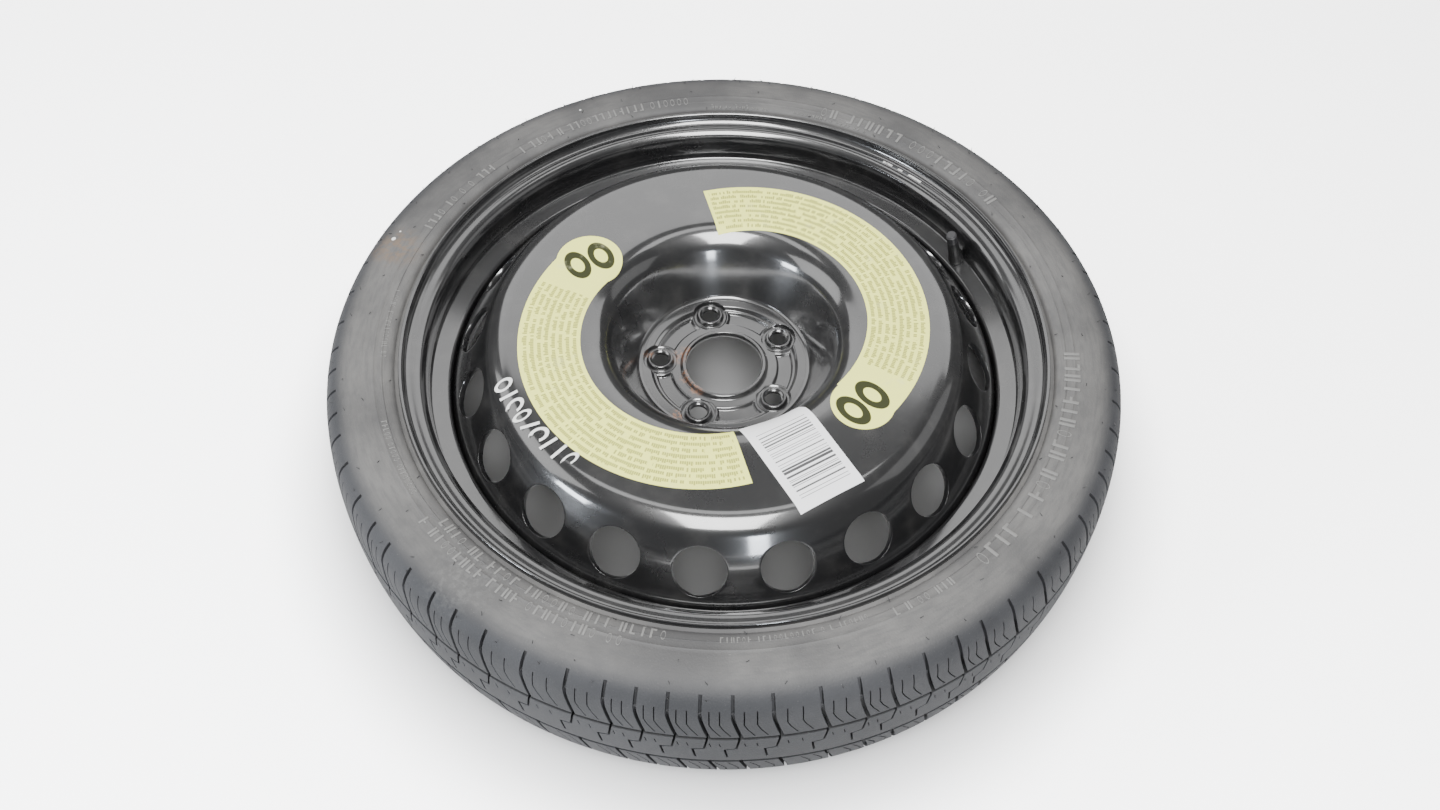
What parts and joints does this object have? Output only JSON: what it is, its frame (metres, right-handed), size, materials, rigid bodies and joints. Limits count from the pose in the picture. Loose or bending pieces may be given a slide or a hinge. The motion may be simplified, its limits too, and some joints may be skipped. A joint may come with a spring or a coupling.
{
  "type": "spare wheel",
  "caption": "Space-saver spare wheel: a narrow tyre on a black pressed steel wheel with ring of vent holes, valve and labels.",
  "frame": {"origin": "centre of the mounting face, where the axle meets it", "axes": "+Z along the axle towards the outboard side, +Y through one bolt hole"},
  "size_m": [0.68, 0.68, 0.1519],
  "materials": {
    "tyre_rubber": "matte",
    "black_paint": "gloss",
    "valve_rubber": "satin",
    "brass_parts": "satin",
    "spring_steel": "satin",
    "red_seal": "matte",
    "cap_plastic": "matte",
    "yellow_label": "satin",
    "white_label": "satin"
  },
  "bodies": {
    "root": {"tyre": "tyre_rubber", "rim": "black_paint", "disc": "black_paint", "disc_welds": "black_paint", "valve_body": "valve_rubber", "valve_stem": "brass_parts", "core_plug": "brass_parts", "core_sleeve": "brass_parts", "core_seal": "red_seal", "core_spring": "spring_steel", "label_right": "yellow_label", "label_left": "yellow_label", "stock_label": "white_label"},
    "cap_carrier": {"cap_seal": "valve_rubber"},
    "cap": {"valve_cap": "cap_plastic"},
    "pin": {"core_pin": "brass_parts", "core_cup": "valve_rubber"}
  },
  "joints": [
    {"name": "cap_lift", "type": "slide", "parent": "root", "child": "cap_carrier", "axis": [-0.2964, -0.0872, 0.9511], "range_m": [0, 0.0087]},
    {"name": "cap_turn", "type": "hinge", "parent": "cap_carrier", "child": "cap", "pos_m": [0.22628, 0.0666, 0.04464], "axis": [-0.2964, -0.0872, 0.9511], "range_deg": [0, 3960]},
    {"name": "pin_press", "type": "slide", "parent": "root", "child": "pin", "axis": [0.2964, 0.0872, -0.9511], "range_m": [0, 0.0015], "stiffness_N_per_m": 400, "springref_m": -0.0005, "deforming": ["core_spring"]}
  ],
  "couplings": [
    {"joint": "cap_turn", "follows": "cap_lift", "rad_per_m": 7913.3}
  ]
}
